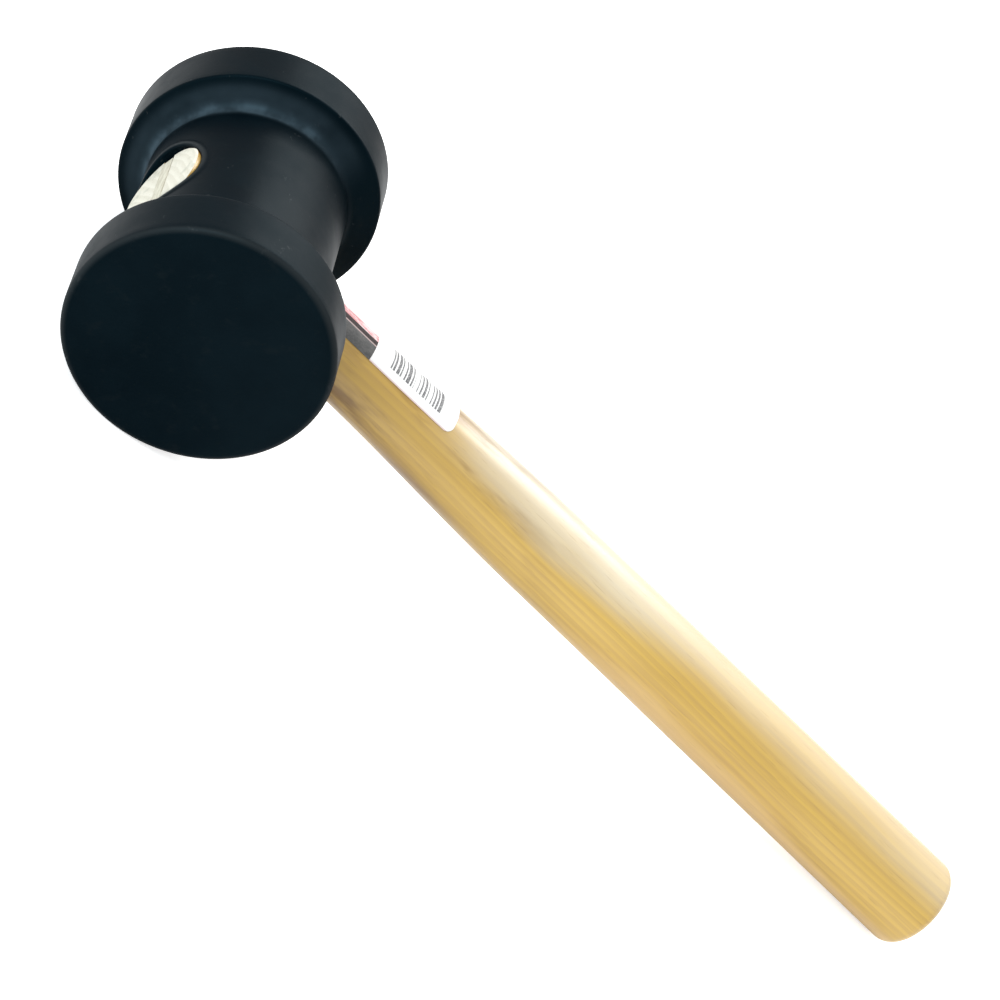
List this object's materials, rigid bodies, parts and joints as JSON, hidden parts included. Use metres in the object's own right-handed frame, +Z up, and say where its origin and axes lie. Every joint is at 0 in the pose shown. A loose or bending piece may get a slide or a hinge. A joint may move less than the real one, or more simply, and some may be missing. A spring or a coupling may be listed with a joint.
{
  "type": "rubber mallet",
  "caption": "Rubber mallet with a waisted black rubber head wedged on a turned wooden handle, lying at rest on its side.",
  "frame": {"origin": "on the ground under the middle of the mallet's bounding box as it lies at rest on both drums and the butt", "axes": "+X from the head towards the butt of the handle, Y along the head between its two striking faces, +Z up"},
  "size_m": [0.3827, 0.108, 0.085],
  "materials": {
    "head_rubber": "satin moulded rubber, near black",
    "handle_wood": "clear lacquered blond hardwood, grain along the handle",
    "wedge_wood": "bare sawn wood, sawn flush with the end grain",
    "dark_paper": "printed coated paper, dark grey with a red strip",
    "white_paper": "printed white paper sticker with grey bars"
  },
  "bodies": {
    "root": {"rubber_head": "head_rubber", "handle": "handle_wood", "wooden_wedge": "wedge_wood", "maker_label": "dark_paper", "barcode_label": "white_paper"}
  },
  "joints": []
}
